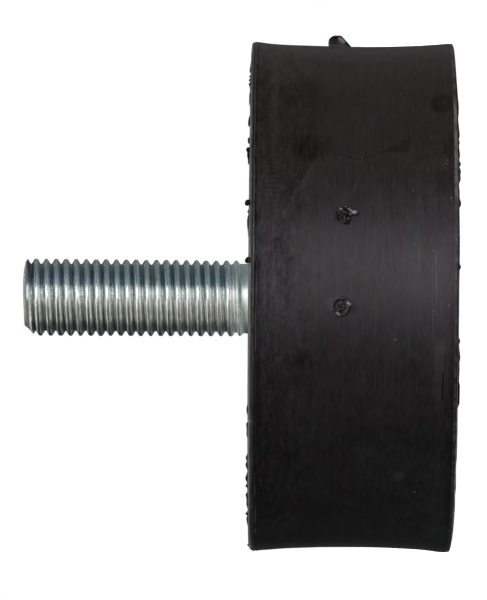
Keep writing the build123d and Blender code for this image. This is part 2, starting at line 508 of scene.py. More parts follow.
# The shallow vent mark below it: a ring with a sunk, crumpled middle.
def vent(name, angle, z):
    b = local_basis(angle)
    n = 64
    a = math.radians(angle)
    out = Vector((math.sin(a), -math.cos(a), 0))
    # (radius in the mark's plane, height over r = 49.9)
    prof = [(2.15, -0.7), (2.10, 0.0), (1.98, 0.05), (1.80, 0.13), (1.62, 0.20), (1.46, 0.20), (1.30, 0.12), (1.16, 0.02),
            (1.02, -0.06), (0.86, 0.0), (0.70, 0.06), (0.54, 0.03), (0.38, -0.03), (0.18, 0.02)]
    e1, e2, e3 = ring_noise(n, 7, 71), ring_noise(n, 13, 72), ring_noise(n, 29, 73)
    verts, faces = [], []
    rng = np.random.default_rng(74)
    for k, (r, h) in enumerate(prof):
        amp = 0.0 if k == 0 else (0.05 if k < 3 else 0.09)
        for i in range(n):
            t = i / n * TAU
            rr = r * (1 + 0.04 * e1[i] + 0.025 * e2[i])
            hh = h + amp * (e1[i] * 0.5 + e2[i] * 0.6 + e3[i] * 0.4 + rng.uniform(-0.2, 0.2))
            if 0 < k:
                hh += 0.07 * creases(rr * math.cos(t) * 1.4, rr * math.sin(t) * 0.6, 171, 7) * min(1.0, (2.15 - r) * 3)
            q = b @ Vector((rr * math.cos(t), 0, rr * math.sin(t)))
            verts.append(q + out * (49.9 + hh) + Vector((0, 0, z)))
    m = len(prof)
    for k in range(m - 1):
        for i in range(n):
            j = (i + 1) % n
            faces.append([k * n + i, k * n + j, (k + 1) * n + j, (k + 1) * n + i])
    for k, flip in ((0, True), (m - 1, False)):
        verts.append(out * (49.9 + prof[k][1]) + Vector((0, 0, z)))
        c = len(verts) - 1
        for i in range(n):
            j = (i + 1) % n
            faces.append([c, k * n + j, k * n + i] if flip else [c, k * n + i, k * n + j])
    return new_object(name, [tuple(v) for v in verts], faces)


def disc_cut(name, angle, z, r, depth_to):
    """A short plug that clears the barrel skin where the vent mark sinks below it."""
    b = local_basis(angle)
    a = math.radians(angle)
    out = Vector((math.sin(a), -math.cos(a), 0))
    n = 48
    verts, faces = [], []
    for rad in (depth_to, 51.5):
        for i in range(n):
            t = i / n * TAU
            verts.append(b @ Vector((r * math.cos(t), 0, r * math.sin(t))) + out * rad + Vector((0, 0, z)))
    for i in range(n):
        j = (i + 1) % n
        faces.append([i, j, n + j, n + i])
    faces.append(list(range(n))[::-1])
    faces.append(list(range(n, 2 * n)))
    return new_object(name, [tuple(v) for v in verts], faces)


boolean(rubber, disc_cut("vent_cut", -2.0, 22.4, 1.6, 49.5), "DIFFERENCE")
boolean(rubber, vent("vent", -2.0, 22.4), "UNION")
boolean(rubber, blob("vent_tag", place(-1.35, 50.12, 20.75), 1.0, 75, 0.2, 3, (0.42, 0.20, 0.40), local_basis(-1.35)), "UNION")
boolean(rubber, blob("vent_tag2", place(-3.6, 50.08, 23.05), 1.0, 76, 0.2, 3, (0.26, 0.16, 0.50), local_basis(-3.6)), "UNION")

# Balls of flash that hang on the stud-end rim.
boolean(rubber, blob("burr_a", place(20.9, 50.1, 40.28), 0.64, 81, 0.13, 3, (0.98, 0.9, 0.92), local_basis(21.0)), "UNION")
boolean(rubber, blob("burr_b", place(7.9, 50.38, 40.05), 0.64, 82, 0.12, 3, (1.0, 0.9, 0.98), local_basis(8.3)), "UNION")
boolean(rubber, blob("burr_c", place(131.0, 50.0, 40.25), 0.45, 83, 0.14, 3, (1, 1, 1), local_basis(131.0)), "UNION")
boolean(rubber, blob("burr_d", place(-128.0, 50.0, 40.2), 0.40, 84, 0.16, 3, (1.3, 1, 0.9), local_basis(-128.0)), "UNION")
rubber.name = "rubber_body_moulded"
smooth(rubber, 30)


# ------------------------------------------------------------------ threads

def helix_solid(name, z0, z1, per_turn, per_pitch, pitch, start, profile):
    """A closed body whose side is a right-hand thread. profile(theta in turns, z, phase 0..1) gives the radius."""
    turns = (z1 - z0) / pitch
    rows = int(round(turns * per_pitch))
    i = np.arange(per_turn + 1)
    j = np.arange(rows + 1)
    tt, jj = np.meshgrid(i / per_turn, j, indexing="ij")
    z = z0 + jj * pitch / per_pitch + tt * pitch
    ph = ((z - start - tt * pitch) / pitch) % 1.0
    r = profile(tt, z, ph)
    th = tt * TAU
    # join (per_turn, j) to (0, j + per_pitch)
    r[per_turn, : rows + 1 - per_pitch] = r[0, per_pitch:]
    x, y = r * np.sin(th), -r * np.cos(th)
    grid = np.arange((per_turn + 1) * (rows + 1)).reshape(per_turn + 1, rows + 1)
    ids = grid.copy()
    ids[per_turn, : rows + 1 - per_pitch] = grid[0, per_pitch:]
    pts = np.stack([x, y, z], axis=2).reshape(-1, 3)
    used = np.zeros(len(pts), bool)
    a, b = ids[:-1, :-1], ids[1:, :-1]
    c, d = ids[1:, 1:], ids[:-1, 1:]
    quads = np.stack([a, b, c, d], axis=2).reshape(-1, 4)
    # end loops
    low_loop = [int(ids[k, 0]) for k in range(per_turn + 1)] + [int(ids[0, k]) for k in range(per_pitch - 1, 0, -1)]
    top_loop = [int(ids[k, rows]) for k in range(per_turn + 1)]
    top_loop = [int(ids[0, rows])] + [int(ids[k, rows]) for k in range(1, per_turn + 1)] \
        + [int(ids[per_turn, k]) for k in range(rows - 1, rows - per_pitch, -1)]
    verts = pts.tolist()
    zl = z0 + pitch * 0.5
    zt = z0 + rows * pitch / per_pitch + pitch * 0.5
    verts.append([0, 0, zl])
    cl = len(verts) - 1
    verts.append([0, 0, zt])
    ct = len(verts) - 1
    faces = quads.tolist()
    for loop, cc, flip in ((low_loop, cl, True), (top_loop, ct, False)):
        m = len(loop)
        for k in range(m):
            p, q = loop[k], loop[(k + 1) % m]
            faces.append([cc, q, p] if flip else [cc, p, q])
    for f in faces:
        used[[q for q in f if q < len(pts)]] = True
    keep = np.concatenate([used, [True, True]])
    remap = np.cumsum(keep) - 1
    verts = np.asarray(verts)[keep]
    faces = [[int(remap[q]) for q in f] for f in faces]
    return new_object(name, verts, faces)


def lathe(name, path, n=144, offset=None):
    """A closed turned body. path: (r, z) in mm from axis to axis; offset(k) gives a shift in X for row k."""
    th = np.arange(n) / n * TAU
    R = np.array([[r] * n for r, _ in path], float)
    Z = np.array([[z] * n for _, z in path], float)
    if offset:
        for k in range(len(path)):
            R[k] = np.maximum(R[k] + offset(k) * np.sin(th), 0.01 if path[k][0] else 0)
    return ring_solid(name, R, Z)


PITCH = 2.0
CREST, ROOT, NECK = 7.73, 6.64, 6.94
STUD_TIP = 85.2
# crest lines lie at THREAD_START + PITCH * (0.5 + turns)
THREAD_START = 0.86 - PITCH * 90.0 / 360.0 - 0.5 * PITCH


def stud_profile(tt, z, ph):
    """Rolled 60 degree thread: round crest, straight flanks, round root, each turn slightly different."""
    d = np.abs(ph - 0.5) * PITCH  # distance from the crest line along the axis, mm: 0 on the crest, 1 in the root
    top = CREST - 0.0035 * (STUD_TIP - z)
    # the rolled crest is a crowned land with rounded shoulders
    land = 0.31 + 0.05 * np.sin(z * 0.9 + 1.0) + 0.03 * np.sin(z * 2.3)
    crown = top - 0.42 * d * d
    flank = top - 0.045 - (d - land) * math.tan(math.radians(60))
    gap = crown - flank
    r = 0.5 * (crown + flank - np.sqrt(gap * gap + 0.006))
    x = r - ROOT
    r = ROOT + 0.5 * (x + np.sqrt(x * x + 0.026))
    turn = z / PITCH
    rng = np.random.default_rng(101)
    knots = rng.uniform(-1, 1, 400)

    def along(freq, off):
        u = (turn * freq + off) % 399
        i0 = np.floor(u).astype(int)
        f = u - i0
        f = f * f * (3 - 2 * f)
        return knots[i0] * (1 - f) + knots[(i0 + 1) % 400] * f

    crest_w = np.clip(1 - d / 0.55, 0, 1)
    r = r + crest_w * (0.028 * along(7.0, 0) + 0.018 * along(19.0, 57)) - 0.012 * crest_w
    # a few crests are bruised flat
    for zc, ang, w, depth in ((48.75, 90, 26, 0.12), (46.9, 88, 24, 0.10), (60.9, 95, 18, 0.06), (71.0, 84, 16, 0.07),
                              (53.2, -86, 20, 0.05), (66.4, -80, 24, 0.08), (79.2, -92, 20, 0.07), (58.9, 20, 9, 0.05),
                              (73.1, -15, 8, 0.06), (50.8, 40, 8, 0.06), (82.9, 30, 14, 0.08), (64.8, 160, 30, 0.1),
                              (77.0, -150, 22, 0.1), (69.0, 55, 7, 0.05), (55.2, -30, 7, 0.05)):
        t = (tt * 360.0 + 180) % 360 - 180
        da = np.abs((t - ang + 180) % 360 - 180)
        hit = np.exp(-(da / w) ** 2) * np.exp(-((z - zc) / 0.55) ** 2)
        r = r - depth * hit * crest_w
    # waviness of the flanks
    r = r + 0.012 * along(31.0, 120) * np.clip(d / 0.4, 0, 1)
    # the thread runs out into the neck: the root rises over the last turn, then the crest falls
    end = 41.95 + 0.30 * np.sin(tt * TAU)

    def step(x):
        x = np.clip(x, 0, 1)
        return x * x * (3 - 2 * x)

    fill = 1 - step((z - end) / 3.0)
    r = r + np.clip(NECK - r, 0, None) * fill * 0.9
    return NECK + (r - NECK) * step((z - end + 0.55) / 1.1)


def make_stud():
    ob = helix_solid("threaded_stud_rolled", 38.9, 88.3, 144, 20, PITCH, THREAD_START, stud_profile)
    tip = STUD_TIP
    blank = lathe("blank", [(0, 41.2), (8.4, 41.2), (8.4, tip - 2.4), (7.97, tip - 2.0), (7.25, tip - 1.1),
                            (6.91, tip - 0.62), (6.56, tip - 0.3), (5.72, tip), (0, tip)], 144,
                  offset=lambda k: {3: 0.43, 4: 0.60, 5: 0.71, 6: 0.64}.get(k, 0.0))
    # the sawn end leans a little: it is lower towards -X
    for v in blank.data.vertices:
        if v.co.z > (tip - 1.3) * 0.001:
            v.co.z -= 0.00016 * min(max(0.5 - v.co.x / 0.006, 0.0), 1.0)
    boolean(ob, blank, "INTERSECT")
    neck = lathe("neck", [(0, 33.0), (15.0, 33.0), (15.0, 37.0), (8.35, 37.0), (8.35, 38.7), (7.3, 39.6), (7.12, 40.1),
                          (7.0, 40.7), (6.95, 41.1), (6.93, 41.35), (6.85, 41.6), (0, 41.6)], 144)
    boolean(ob, neck, "UNION")
    ob.name = "threaded_stud_rolled"
    # the stud was moulded in a little off the middle of the rubber
    ob.data.transform(Matrix.Translation((-0.00042, 0, 0)))
    smooth(ob, 42)
    return ob


stud = make_stud()


def make_insert():
    lo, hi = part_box("tapped_insert")
    blank = lathe("tapped_insert_turned", [(0, 0), (10.7, 0), (11.0, 0.3), (11.0, 3.0), (14.0, 3.0), (14.0, 19.4), (13.4, 20.0),
                             (0, 20.0)], 160)

    def female(tt, z, ph):
        d = np.abs(ph - 0.5) * PITCH
        r = 8.04 - np.clip(d - 0.12, 0, None) * math.tan(math.radians(60))
        return np.maximum(r, 7.0)

    tap = helix_solid("tap", -3.0, 16.0, 96, 12, PITCH, 0.3, female)
    limit = lathe("limit", [(0, -1.0), (9.2, -1.0), (8.2, 0.0), (7.0, 1.2), (8.3, 1.2001), (8.3, 12.6), (7.0, 14.0), (0, 14.0)], 96)
    # the tap solid is trimmed, then a smooth bore and drill point are added
    limit2 = lathe("limit2", [(0, -1.0), (9.3, -1.0), (9.3, 12.4), (7.0, 14.0), (0, 14.0)], 96)
    old = limit.data
    bpy.data.objects.remove(limit)
    bpy.data.meshes.remove(old)
    boolean(tap, limit2, "INTERSECT")
    boolean(blank, tap, "DIFFERENCE")
    bore = lathe("bore", [(0, -1.0), (9.2, -1.0), (8.2, 0.0), (6.98, 1.2), (6.98, 14.0), (0, 14.0 + 6.98 / math.tan(math.radians(59)))], 96)
    boolean(blank, bore, "DIFFERENCE")
    blank.name = "tapped_insert_turned"
    smooth(blank, 42)
    return blank


insert = make_insert()


# ------------------------------------------------------------------ shader helpers

class Net:
    """A small helper to lay out shader nodes."""

    def __init__(self, name):
        self.mat = bpy.data.materials.new(name)
        self.mat.use_nodes = True
        self.t = self.mat.node_tree
        self.t.nodes.clear()
        self.out = self.add("ShaderNodeOutputMaterial")
        self.bsdf = self.add("ShaderNodeBsdfPrincipled")
        self.link(self.bsdf.outputs[0], self.out.inputs["Surface"])
        self.obj = self.add("ShaderNodeTexCoord").outputs["Object"]

    def add(self, kind, **kw):
        n = self.t.nodes.new(kind)
        for k, v in kw.items():
            setattr(n, k, v)
        return n

    def link(self, a, b):
        self.t.links.new(a, b)

    def put(self, socket, value):
        if isinstance(value, bpy.types.NodeSocket):
            self.link(value, socket)
        else:
            socket.default_value = value

    def math(self, op, a, b=None, c=None, clamp=False):
        n = self.add("ShaderNodeMath", operation=op, use_clamp=clamp)
        self.put(n.inputs[0], a)
        if b is not None:
            self.put(n.inputs[1], b)
        if c is not None:
            self.put(n.inputs[2], c)
        return n.outputs[0]

    def vmath(self, op, a, b=None):
        n = self.add("ShaderNodeVectorMath", operation=op)
        self.put(n.inputs[0], a)
        if b is not None:
            self.put(n.inputs[1], b)
        return n.outputs[0]

    def xyz(self, v):
        n = self.add("ShaderNodeSeparateXYZ")
        self.link(v, n.inputs[0])
        return n.outputs

    def vec(self, x, y, z):
        n = self.add("ShaderNodeCombineXYZ")
        for s, v in zip(n.inputs, (x, y, z)):
            self.put(s, v)
        return n.outputs[0]

    def noise(self, vec, scale, detail=3.0, rough=0.55, dist=0.0):
        n = self.add("ShaderNodeTexNoise")
        self.link(vec, n.inputs["Vector"])
        n.inputs["Scale"].default_value = scale
        n.inputs["Detail"].default_value = detail
        n.inputs["Roughness"].default_value = rough
        n.inputs["Distortion"].default_value = dist
        return n.outputs["Fac"]

    def voronoi(self, vec, scale, feature="F1", rand=1.0):
        n = self.add("ShaderNodeTexVoronoi", feature=feature)
        self.link(vec, n.inputs["Vector"])
        n.inputs["Scale"].default_value = scale
        n.inputs["Randomness"].default_value = rand
        return n.outputs["Distance"]

    def ramp(self, v, lo, hi, a=0.0, b=1.0, smooth=True):
        n = self.add("ShaderNodeMapRange", interpolation_type="SMOOTHSTEP" if smooth else "LINEAR")
        n.clamp = True
        self.put(n.inputs["Value"], v)
        n.inputs["From Min"].default_value = lo
        n.inputs["From Max"].default_value = hi
        n.inputs["To Min"].default_value = a
        n.inputs["To Max"].default_value = b
        return n.outputs["Result"]

    def mix(self, f, a, b):
        n = self.add("ShaderNodeMix", data_type="RGBA")
        self.put(n.inputs[0], f)
        for s, v in ((n.inputs[6], a), (n.inputs[7], b)):
            if isinstance(v, bpy.types.NodeSocket):
                self.link(v, s)
            else:
                s.default_value = (*v, 1.0)
        return n.outputs[2]

    def bump(self, height, distance, strength=1.0, normal=None):
        n = self.add("ShaderNodeBump")
        n.inputs["Strength"].default_value = strength
        n.inputs["Distance"].default_value = distance * 0.001
        self.link(height, n.inputs["Height"])
        if normal is not None:
            self.link(normal, n.inputs["Normal"])
        return n.outputs["Normal"]


# ------------------------------------------------------------------ rubber material

RUBBER_DARK, RUBBER_LIGHT = (0.0125, 0.0108, 0.0112), (0.0185, 0.0165, 0.0172)


def rubber_material():
    m = Net("rubber")
    x, y, z = m.xyz(m.obj)
    mm = lambda v: m.math("MULTIPLY", v, 1000.0)
    X, Y, Z = mm(x), mm(y), mm(z)
    # hoop position in mm from the side that faces the camera, and radius
    ang = m.math("ARCTAN2", X, m.math("MULTIPLY", Y, -1.0))
    hoop = m.math("MULTIPLY", ang, 50.0)
    rad = m.math("SQRT", m.math("ADD", m.math("MULTIPLY", X, X), m.math("MULTIPLY", Y, Y)))
    # for the textures the hoop coordinate folds back over the far side, so that it meets itself there
    span = m.math("ABSOLUTE", hoop)
    over = m.math("MAXIMUM", m.math("SUBTRACT", span, 100.0), 0.0)
    turn = m.math("SUBTRACT", hoop, m.math("MULTIPLY", m.math("MULTIPLY", m.math("SIGN", hoop), over), 157.08 / 57.08))
    front = m.ramp(span, 80.0, 135.0, 1.0, 0.0)
    cyl = m.vec(turn, rad, Z)
    flat = m.vec(hoop, 0.0, Z)
    # torn and wiped marks have uneven edges: the coordinates are pushed about by noise
    n = m.add("ShaderNodeTexNoise")
    m.link(cyl, n.inputs["Vector"])
    n.inputs["Scale"].default_value = 0.55
    n.inputs["Detail"].default_value = 4.0
    n.inputs["Roughness"].default_value = 0.65
    push = m.vmath("SUBTRACT", n.outputs["Color"], (0.5, 0.5, 0.5))
    bent = m.vmath("ADD", flat, m.vmath("MULTIPLY", push, (5.5, 0.0, 3.2)))
    slight = m.vmath("ADD", flat, m.vmath("MULTIPLY", push, (1.2, 0.0, 0.9)))
    bh, _, bz = m.xyz(bent)
    sh, _, sz = m.xyz(slight)

    add = lambda a, b: m.math("ADD", a, b)
    sub = lambda a, b: m.math("SUBTRACT", a, b)
    mul = lambda a, b: m.math("MULTIPLY", a, b)

    def spot(h, zz, rh, rz, soft=0.45, where=bent):
        d = m.add("ShaderNodeVectorMath", operation="LENGTH")
        m.link(m.vmath("MULTIPLY", m.vmath("SUBTRACT", where, (h, 0.0, zz)), (1 / rh, 0.0, 1 / rz)), d.inputs[0])
        return m.ramp(d.outputs["Value"], 1 - soft, 1 + soft, 1.0, 0.0)

    def bar(h0, h1, zz, w, end=0.8, zs=None):
        """A stripe that runs along the hoop from h0 to h1."""
        across = m.ramp(m.math("ABSOLUTE", sub(zs or Z, zz)), w * 0.35, w, 1.0, 0.0)
        return mul(across, mul(m.ramp(sh, h0 - end, h0 + end), m.ramp(sh, h1 - end, h1 + end, 1.0, 0.0)))

    def dots(points, where):
        """Distance to the nearest of many small marks, in units of each mark's own radius."""
        best = None
        for p, r in points:
            d = m.add("ShaderNodeVectorMath", operation="DISTANCE")
            m.link(where, d.inputs[0])
            d.inputs[1].default_value = p
            v = mul(d.outputs["Value"], 1.0 / r)
            best = v if best is None else m.math("MINIMUM", best, v)
        return best

    # ---- textures of the moulded and wiped skin
    far = m.noise(m.vec(mul(turn, 0.035), 0.0, Z), 1.15, 5.0, 0.72)      # long hoop-wise streaks
    near = m.noise(m.vec(mul(turn, 0.13), mul(rad, 0.3), Z), 2.6, 4.0, 0.65)
    hair = m.noise(m.vec(mul(turn, 0.07), mul(rad, 0.3), Z), 5.5, 3.0, 0.6)
    cloud = m.noise(cyl, 0.085, 4.0, 0.6, 0.4)
    cloud2 = m.noise(cyl, 0.30, 5.0, 0.65, 0.6)
    mottle = m.noise(m.vec(mul(turn, 0.36), rad, Z), 0.95, 5.0, 0.66, 0.8)
    pits = m.noise(m.vec(mul(turn, 0.42), rad, Z), 2.7, 3.0, 0.62)
    grain = m.noise(cyl, 6.5, 3.0, 0.7)
    left = m.ramp(bz, 25.0, 33.0)                                          # the rougher third beside the stud end
    left2 = m.ramp(add(mul(bz, 1.0), 0.0), 29.0, 34.0)
    right = m.ramp(Z, 20.0, 8.0, 0.0, 1.0)

    # ---- sheen: how strongly the skin mirrors the studio
    c = lambda v, s: mul(sub(v, 0.5), s)
    sheen = add(m.ramp(m.math("ABSOLUTE", sub(hoop, 33.0)), 4.0, 20.0, 1.16, 1.0), c(far, 0.62))
    sheen = add(sheen, mul(m.ramp(hoop, -54.0, -68.0, 0.0, -0.22), front))
    sheen = add(sheen, c(near, 0.50))
    sheen = add(sheen, mul(c(hair, 0.72), m.ramp(Z, 30.0, 10.0, 0.4, 1.0)))
    sheen = add(sheen, c(cloud2, 0.24))
    sheen = add(sheen, mul(c(mottle, 1.55), m.ramp(left, 0.0, 1.0, 0.25, 1.0)))
    sheen = add(sheen, mul(c(pits, 0.85), m.ramp(left2, 0.0, 1.0, 0.14, 1.0)))

    def lower(mask, amount):
        nonlocal sheen
        sheen = sub(sheen, mul(mask, amount))

    # the worn edges hold no gloss where the flash was torn, and the groove behind them is darkened with painted shade
    # (less gloss, darker colour)
    fin = mul(m.ramp(Z, 39.98, 40.10), m.ramp(rad, 49.5, 49.65))
    lower(fin, 0.8)
    ditch = mul(m.ramp(m.math("ABSOLUTE", sub(Z, 38.70)), 0.14, 0.32, 1.0, 0.0), m.ramp(rad, 49.5, 49.8))
    lower(mul(ditch, m.ramp(near, 0.38, 0.55, 0.25, 1.0)), m.ramp(mul(hoop, front), -10.0, 12.0, 0.3, 0.62))
    # the torn stumps are dull
    lower(mul(spot(15.7, 22.1, 1.7, 1.62, 0.12, flat), m.ramp(pits, 0.35, 0.6, 1.0, 0.35)), 0.50)
    lower(mul(m.ramp(X, 50.15, 50.45), m.ramp(add(Z, c(pits, 2.5)), 22.1, 23.4, 0.15, 1.0)), 0.62)
    lower(spot(14.0, 34.5, 13.0, 5.0, 0.6), 0.12)
    lower(mul(m.ramp(hoop, 65.0, 70.0), m.ramp(bz, 27.0, 33.0)), -0.38)
    lower(mul(mul(m.ramp(hoop, -8.0, -20.0), m.ramp(hoop, -42.0, -30.0)), m.ramp(bz, 14.0, 4.0)), 0.24)
    lower(m.ramp(m.math("ABSOLUTE", sub(hoop, 60.5)), 2.0, 6.0, 1.0, 0.0), 0.12)
    lower(spot(29.0, 34.5, 6.5, 6.0, 0.5), 0.13)
    lower(spot(3.0, 6.5, 8.0, 6.0, 0.6), -0.14)
    lower(spot(41.2, 30.2, 8.2, 4.8), 0.24)
    lower(spot(48.0, 29.0, 4.5, 2.6), 0.10)
    lower(spot(30.4, 28.0, 2.9, 3.6, 0.45, slight), 0.34)
    lower(spot(29.6, 29.2, 2.6, 2.4), 0.12)
    lower(spot(41.8, 2.9, 2.9, 2.3, 0.3, slight), 0.45)
    lower(spot(30.0, 1.9, 3.0, 1.3), 0.34)
    lower(spot(22.0, 2.6, 3.4, 1.6), 0.22)
    lower(spot(10.2, 34.2, 1.7, 1.5, 0.6), 0.26)
    lower(spot(5.4, 33.0, 2.6, 1.8, 0.6), 0.16)
    lower(spot(-11.6, 30.0, 1.8, 1.6), 0.34)
    lower(spot(56.0, 21.5, 3.0, 4.6), 0.10)
    lower(spot(17.4, 27.5, 2.6, 3.2), 0.10)
    lower(spot(44.0, 37.2, 10.0, 1.5), 0.22)
    # the wiped band beside the stud end
    lower(bar(27.0, 60.0, 35.25, 0.95, 3.0, sz), -0.24)
    # a low ridge that sags across the upper middle, with a dull wedge above its base-side end
    u = m.math("MINIMUM", sub(19.2, Z), 4.9)
    ridge = add(27.49, add(mul(m.math("SQRT", add(mul(u, u), 1.44)), 0.38), mul(mul(u, u), 0.0115)))
    off = sub(add(hoop, mul(sub(near, 0.5), 0.7)), ridge)
    reach = mul(m.ramp(Z, 9.4, 12.0, 0.3, 1.0), mul(m.ramp(Z, 8.9, 9.3), m.ramp(Z, 21.0, 24.2, 1.0, 0.0)))
    thin = mul(m.ramp(m.math("ABSOLUTE", off), 0.10, 0.34, 1.0, 0.0), reach)
    wedge = mul(sub(14.9, add(Z, mul(sub(bz, Z), 0.4))), 0.60)
    above = mul(mul(m.ramp(off, -0.1, 0.3), m.ramp(sub(off, wedge), -0.5, 0.4, 1.0, 0.0)), mul(m.ramp(Z, 8.9, 9.5), m.ramp(Z, 13.2, 15.0, 1.0, 0.0)))
    lower(mul(thin, m.ramp(near, 0.36, 0.58, 0.2, 1.0)), 0.36)
    lower(above, 0.32)
    # a jagged boundary: dull towards the stud end, wiped clean towards the base
    edge = sub(sz, add(add(32.9, mul(sub(hoop, 17.4), -0.535)), mul(sub(m.noise(m.vec(hoop, 0.0, 0.0), 0.9, 3.0, 0.7), 0.5), 3.4)))
    torn_span = mul(m.ramp(hoop, 15.5, 18.5), m.ramp(hoop, 26.5, 30.0, 1.0, 0.0))
    lower(mul(mul(m.ramp(edge, 0.0, 0.35), m.ramp(edge, 0.8, 3.6, 1.0, 0.0)), torn_span), 0.22)
    lower(mul(mul(m.ramp(edge, -0.9, -0.2), m.ramp(edge, -0.15, 0.1, 1.0, 0.0)), torn_span), -0.22)
    # a row of short rub marks across the band
    rub = mul(mul(m.ramp(hoop, 17.8, 19.4), m.ramp(hoop, 25.4, 27.4, 1.0, 0.0)), mul(m.ramp(Z, 34.0, 34.7), m.ramp(Z, 36.8, 37.4, 1.0, 0.0)))
    comb = m.ramp(m.math("SINE", mul(add(hoop, mul(sub(mottle, 0.5), 0.6)), TAU / 1.02)), -0.5, 1.0)
    lower(mul(rub, comb), -0.22)
    # fine bright scratches left by the mould, near the base end
    lower(mul(bar(-0.4, 8.3, 4.38, 0.16, 1.2), m.ramp(hair, 0.30, 0.55, 0.35, 1.0)), -0.62)
    lower(bar(4.4, 8.2, 7.75, 0.15, 0.9), -0.34)
    lower(bar(-8.0, 6.5, 5.05, 0.13, 1.8), -0.25)
    lower(bar(17.4, 24.0, 13.55, 0.14, 0.8), 0.28)
    lower(bar(16.5, 25.0, 13.0, 0.14, 0.8), 0.26)
    lower(bar(-19.6, -8.6, 3.55, 1.5, 1.6, sz), -0.42)
    lower(bar(-19.8, -14.2, 2.90, 0.22, 0.5), 0.85)
    lower(bar(-18.5, -8.0, 2.05, 0.16, 1.5), -0.25)
    lower(bar(-30.0, -24.6, 14.35, 0.22, 1.2, sz), -0.34)
    lower(bar(-34.0, -29.8, 31.50, 0.38, 1.2, sz), -0.40)
    lower(bar(9.0, 14.0, 16.1, 0.14, 1.4), -0.18)
    lower(bar(-5.0, 2.5, 26.9, 0.16, 1.4), -0.22)
    lower(bar(2.0, 9.0, 24.7, 0.14, 1.4), -0.2)
    # soft bloom low on the base-end side
    bloom = mul(spot(-38.1, 10.85, 1.15, 0.95, 0.7, slight), 0.85)
    bloom = add(bloom, mul(spot(-37.7, 10.6, 0.5, 0.32, 0.6, slight), 1.0))
    bloom = add(bloom, mul(spot(-58.5, 2.4, 4.6, 1.9, 0.8), 0.45))
    bloom = add(bloom, mul(spot(-40.0, 29.9, 0.55, 0.55, 0.8), 0.5))
    bloom = add(bloom, mul(bar(-65.5, -61.0, 14.5, 0.4, 1.2), 0.35))
    bloom = add(bloom, mul(spot(-26.0, 27.3, 0.25, 0.55, 0.8), 0.4))
    bloom = add(bloom, mul(spot(-26.0, 24.1, 0.25, 0.75, 0.8), 0.4))
    bloom = add(bloom, mul(spot(-25.6, 5.6, 1.2, 0.28, 0.8), 0.35))

    # ---- tiny pale specks of dust: those that were seen, and a thin scatter of others
    seen = dots([((h, 0.0, zz), r) for h, zz, r in (
        (45.33, 10.84, .20), (53.58, 7.0, .22), (48.38, 8.86, .18), (32.87, 5.23, .18), (20.95, 8.83, .20),
        (19.38, 1.54, .30), (10.25, 8.52, .26), (62.2, 38.58, .26), (58.35, 33.49, .18), (32.17, 26.16, .16),
        (27.22, 2.28, .20), (26.5, 2.42, .16), (34.02, 37.83, .16), (41.85, 2.79, .26), (28.14, 18.59, .20),
        (-8.01, 12.05, .28), (-42.29, 7.81, .26), (-39.02, 37.58, .20), (-40.02, 37.48, .18), (-38.2, 37.7, .14),
        (8.94, 4.91, .24), (-2.41, 4.86, .22), (-1.44, 2.03, .24), (-3.16, 4.29, .20), (-0.6, 6.6, .16),
        (37.6, 13.2, .14), (42.3, 14.1, .13), (12.2, 3.6, .14), (39.8, 8.6, .16), (51.0, 10.6, .14),
        (-4.6, 33.4, .16), (24.2, 31.0, .14), (15.4, 9.9, .14))], slight)
    seen = m.ramp(seen, 0.25, 1.0, 1.0, 0.0)
    cell = m.voronoi(cyl, 0.34)
    keep = m.noise(cyl, 0.21, 2.0)
    speck = mul(m.ramp(cell, 0.014, 0.036, 1.0, 0.0), m.ramp(keep, 0.52, 0.62, 0.0, 0.5))
    cell2 = m.voronoi(m.vmath("ADD", cyl, (31.0, 7.0, 3.0)), 0.85)
    speck2 = mul(m.ramp(cell2, 0.03, 0.075, 1.0, 0.0), m.ramp(keep, 0.42, 0.6, 0.0, 0.22))
    speck = m.math("MAXIMUM", m.math("MAXIMUM", seen, speck), speck2)

    # ---- painted highlights on the edges at both ends: paler bands and light lines where the rim land and the base edge catch the light
    fray0 = m.noise(m.vec(mul(turn, 0.35), rad, 0.0), 1.3, 4.0, 0.75)
    land = m.ramp(add(Z, c(fray0, 0.10)), 38.80, 38.92)
    out_side = m.ramp(rad, 49.0, 49.6)
    patchy = m.noise(m.vec(mul(turn, 0.22), rad, Z), 1.4, 4.0, 0.7)
    fray = m.noise(m.vec(mul(turn, 0.5), rad, Z), 3.2, 3.0, 0.7)
    pale = mul(mul(land, out_side), m.ramp(patchy, 0.30, 0.70, 0.12, 1.0))
    pale = mul(pale, sub(1.0, mul(m.ramp(m.math("ABSOLUTE", sub(add(Z, c(fray0, 0.3)), 39.34)), 0.04, 0.14, 1.0, 0.0), 0.6)))
    pale = mul(pale, sub(1.0, fin))
    upper = mul(m.ramp(hoop, -22.0, -4.0), front)
    wander = add(Z, c(fray0, 0.28))
    wire1 = mul(m.ramp(m.math("ABSOLUTE", sub(wander, 39.62)), 0.03, 0.13, 1.0, 0.0), m.ramp(fray, 0.34, 0.56))
    wire2 = mul(m.ramp(m.math("ABSOLUTE", sub(wander, 39.10)), 0.04, 0.16, 1.0, 0.0), m.ramp(patchy, 0.38, 0.58))
    gap = mul(m.ramp(m.math("ABSOLUTE", sub(wander, 39.36)), 0.05, 0.17, 1.0, 0.0), m.ramp(patchy, 0.34, 0.56, 0.35, 1.0))
    side_on = mul(out_side, m.ramp(Z, 39.98, 39.90))
    # painted highlight lines on the rim land, with a painted dark line between them, set through gloss and colour
    lower(mul(mul(gap, side_on), upper), 0.75)
    lower(mul(mul(m.math("MAXIMUM", wire1, wire2), side_on), upper), -0.40)
    pale = mul(pale, sub(1.0, mul(mul(gap, upper), 0.85)))
